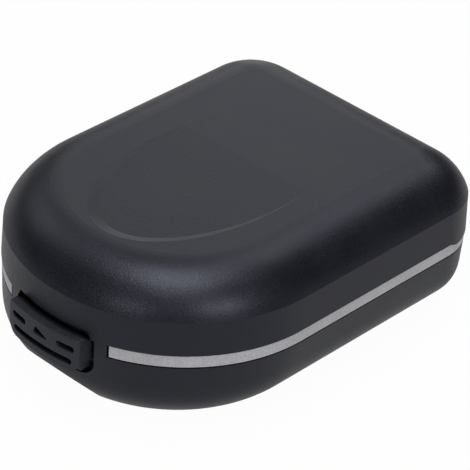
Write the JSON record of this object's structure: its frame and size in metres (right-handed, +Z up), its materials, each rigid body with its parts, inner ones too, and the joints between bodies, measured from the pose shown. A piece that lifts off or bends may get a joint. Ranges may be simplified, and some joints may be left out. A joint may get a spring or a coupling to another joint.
{
  "type": "hearing aid case",
  "caption": "Black D-shaped hard carrying case for hearing aids with a hinged lid, push latch, silver trim strip, thumb recess and a fitted tray inside",
  "frame": {"origin": "on the floor under the middle of the case's outline, between the nose and the hinge end and between the two sides", "axes": "+Z up, -Y towards the rounded nose with the latch, +Y towards the hinge end, +X to the right seen from the nose"},
  "size_m": [0.0682, 0.0963, 0.0324],
  "materials": {
    "base_plastic": "moulded black plastic with a fine spark texture",
    "lid_plastic": "moulded black plastic, satin on the rounded edges",
    "trim_silver": "satin silver coating on a thin strip",
    "latch_plastic": "moulded dark grey plastic, slightly paler than the case",
    "catch_plastic": "tough moulded plastic",
    "tray_plastic": "moulded dark grey plastic",
    "cover_plastic": "smooth moulded grey plastic",
    "capsule_plastic": "pale moulded plastic",
    "liner_rubber": "soft black silicone",
    "pad_foam": "closed foam with a short dark pile",
    "pin_steel": "drawn steel wire",
    "screw_steel": "plated steel screws"
  },
  "bodies": {
    "base": {"base_shell": "base_plastic", "trim_strip_left": "trim_silver", "trim_strip_right": "trim_silver", "hinge_pin": "pin_steel", "latch_pivot_pin": "pin_steel", "latch_spring": "pin_steel", "inner_tray": "tray_plastic", "aid_liner_left": "liner_rubber", "aid_liner_right": "liner_rubber", "drying_capsule": "capsule_plastic", "tray_screws": "screw_steel"},
    "lid": {"lid_shell": "lid_plastic", "lid_catch": "catch_plastic", "lid_catch_screws": "screw_steel", "lid_panel": "tray_plastic", "lid_panel_screws": "screw_steel", "lid_pad": "pad_foam"},
    "latch": {"latch_button": "latch_plastic"},
    "battery_slide": {"battery_cover": "cover_plastic"},
    "drying_cap": {"capsule_cap": "cover_plastic"}
  },
  "joints": [
    {"name": "lid_hinge", "type": "hinge", "parent": "base", "child": "lid", "pos_m": [0, 0.0469, 0.01635], "axis": [-1, 0, 0], "range_deg": [0, 105]},
    {"name": "latch_press", "type": "hinge", "parent": "base", "child": "latch", "pos_m": [0, -0.0412, 0.0112], "axis": [-1, 0, 0], "range_deg": [0, 5], "stiffness_Nm_per_rad": 0.05},
    {"name": "battery_cover_slide", "type": "slide", "parent": "base", "child": "battery_slide", "axis": [-1, 0, 0], "range_m": [0, 0.021]},
    {"name": "capsule_cap_turn", "type": "hinge", "parent": "base", "child": "drying_cap", "pos_m": [0, -0.0254, 0.0155], "axis": [0, 0, 1], "range_deg": [0, 60]}
  ]
}
